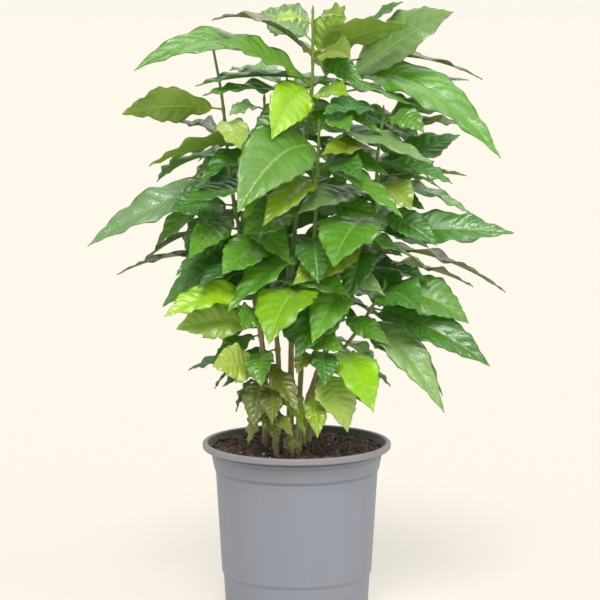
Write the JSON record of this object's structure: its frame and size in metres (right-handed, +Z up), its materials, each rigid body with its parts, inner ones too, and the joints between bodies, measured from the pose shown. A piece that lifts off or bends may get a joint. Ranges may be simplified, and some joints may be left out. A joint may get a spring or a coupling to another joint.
{
  "type": "potted coffee plant",
  "caption": "Young coffee plants with glossy, wavy-edged leaves growing together in a round grey nursery pot filled with potting mix.",
  "frame": {"origin": "the middle of the pot's underside, on the surface that the pot stands on", "axes": "+Z up along the pot's axis; -Y towards the plant's front, as pictured; +X to the front view's right"},
  "size_m": [0.4232, 0.3075, 0.6104],
  "materials": {
    "pot_plastic": "matte moulded plastic, bluish grey, paler on the lip",
    "potting_mix": "dark, lumpy and matte, with bark, fibre and perlite",
    "coffee_leaf": "glossy green leaves with sunken veins on matte greenish brown stems"
  },
  "bodies": {
    "root": {"pot": "pot_plastic", "soil": "potting_mix", "stem_tall": "coffee_leaf", "stem_front": "coffee_leaf", "stem_left_centre": "coffee_leaf", "stem_left": "coffee_leaf", "stem_right": "coffee_leaf", "stem_low_right": "coffee_leaf", "stem_back": "coffee_leaf", "stem_back_right": "coffee_leaf", "shoot_front_left": "coffee_leaf", "shoot_front_right": "coffee_leaf"}
  },
  "joints": []
}
